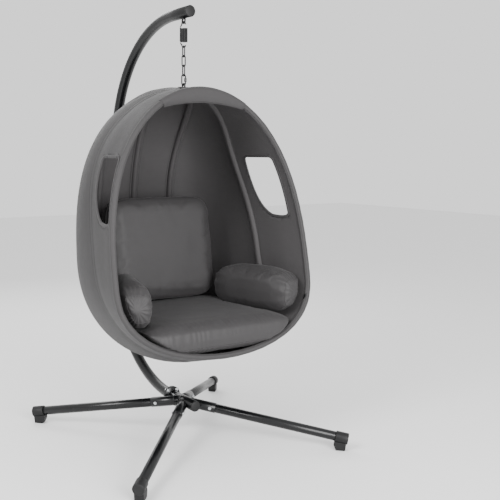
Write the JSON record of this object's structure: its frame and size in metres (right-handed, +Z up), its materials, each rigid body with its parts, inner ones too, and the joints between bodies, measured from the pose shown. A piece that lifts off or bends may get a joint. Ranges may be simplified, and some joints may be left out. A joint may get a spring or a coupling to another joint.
{
  "type": "hanging_egg_chair",
  "caption": "Fabric egg-shaped hanging chair with side windows and cushions, hung by spring and chain from a C-shaped pole on a cross base.",
  "frame": {"origin": "on the floor, under the centre of the whole chair's bounding box", "axes": "+Z up, -Y out of the open front of the egg, +X to the right seen from the front"},
  "size_m": [1.0954, 1.2478, 1.9476],
  "materials": {
    "powder_coat": "gloss",
    "zinc_fasteners": "satin",
    "black_plastic": "matte",
    "black_chain": "satin",
    "shell_fabric": "matte",
    "cushion_fabric": "matte"
  },
  "bodies": {
    "stand": {"hub": "powder_coat", "leg_front_left": "powder_coat", "leg_front_right": "powder_coat", "leg_rear_left": "powder_coat", "leg_rear_right": "powder_coat", "pole_lower": "powder_coat", "pole_upper": "powder_coat", "leg_front_left_bolt": "zinc_fasteners", "leg_front_left_nut": "zinc_fasteners", "leg_front_right_bolt": "zinc_fasteners", "leg_front_right_nut": "zinc_fasteners", "leg_rear_left_bolt": "zinc_fasteners", "leg_rear_left_nut": "zinc_fasteners", "leg_rear_right_bolt": "zinc_fasteners", "leg_rear_right_nut": "zinc_fasteners", "pole_joint_bolt": "zinc_fasteners", "pole_joint_nut": "zinc_fasteners", "flange_1_bolt": "zinc_fasteners", "flange_1_nut": "zinc_fasteners", "flange_2_bolt": "zinc_fasteners", "flange_2_nut": "zinc_fasteners", "flange_3_bolt": "zinc_fasteners", "flange_3_nut": "zinc_fasteners", "flange_4_bolt": "zinc_fasteners", "flange_4_nut": "zinc_fasteners", "foot_front_left": "black_plastic", "foot_front_right": "black_plastic", "foot_rear_left": "black_plastic", "foot_rear_right": "black_plastic", "hub_end_plug": "black_plastic", "pole_end_plug": "black_plastic"},
    "spring_top": {"spring_hook_upper": "black_chain", "spring_coil": "black_chain"},
    "spring_bottom": {"spring_hook_lower": "black_chain"},
    "link_1": {"chain_link_1": "black_chain"},
    "link_2": {"chain_link_2": "black_chain"},
    "link_3": {"chain_link_3": "black_chain"},
    "quick": {"quick_link": "black_chain", "quick_link_nut": "black_chain"},
    "egg": {"crown_plate": "powder_coat", "front_ring": "powder_coat", "spine_rib": "powder_coat", "crown_strut": "powder_coat", "side_rib_left": "powder_coat", "side_rib_right": "powder_coat", "back_rib_left": "powder_coat", "back_rib_right": "powder_coat", "shell_cover": "shell_fabric", "rim_sleeve": "shell_fabric", "top_band": "shell_fabric", "window_binding_left": "shell_fabric", "window_binding_right": "shell_fabric", "seat_cushion": "cushion_fabric", "back_cushion": "cushion_fabric", "arm_cushion_left": "cushion_fabric", "arm_cushion_right": "cushion_fabric"}
  },
  "joints": [
    {"name": "hanger_swing", "type": "hinge", "parent": "stand", "child": "spring_top", "pos_m": [0, -0.0661, 1.881], "axis": [1, 0, 0], "range_deg": [-8, 3]},
    {"name": "spring_stretch", "type": "slide", "parent": "spring_top", "child": "spring_bottom", "axis": [0, 0, -1], "range_m": [0, 0.04], "stiffness_N_per_m": 18000, "springref_m": -0.022, "deforming": ["spring_coil"]},
    {"name": "link_1_sway", "type": "hinge", "parent": "spring_bottom", "child": "link_1", "pos_m": [0, -0.0661, 1.7765], "axis": [0, 1, 0], "range_deg": [-5, 5]},
    {"name": "link_2_swing", "type": "hinge", "parent": "link_1", "child": "link_2", "pos_m": [0, -0.0661, 1.7352], "axis": [1, 0, 0], "range_deg": [-3, 1]},
    {"name": "link_3_sway", "type": "hinge", "parent": "link_2", "child": "link_3", "pos_m": [0, -0.0661, 1.6939], "axis": [0, 1, 0], "range_deg": [-3, 3]},
    {"name": "quick_link_swing", "type": "hinge", "parent": "link_3", "child": "quick", "pos_m": [0, -0.0661, 1.6526], "axis": [1, 0, 0], "range_deg": [-3, 1]},
    {"name": "egg_turn", "type": "hinge", "parent": "quick", "child": "egg", "pos_m": [0, -0.0661, 1.612], "axis": [0, 0, 1], "range_deg": [-20, 20]}
  ]
}
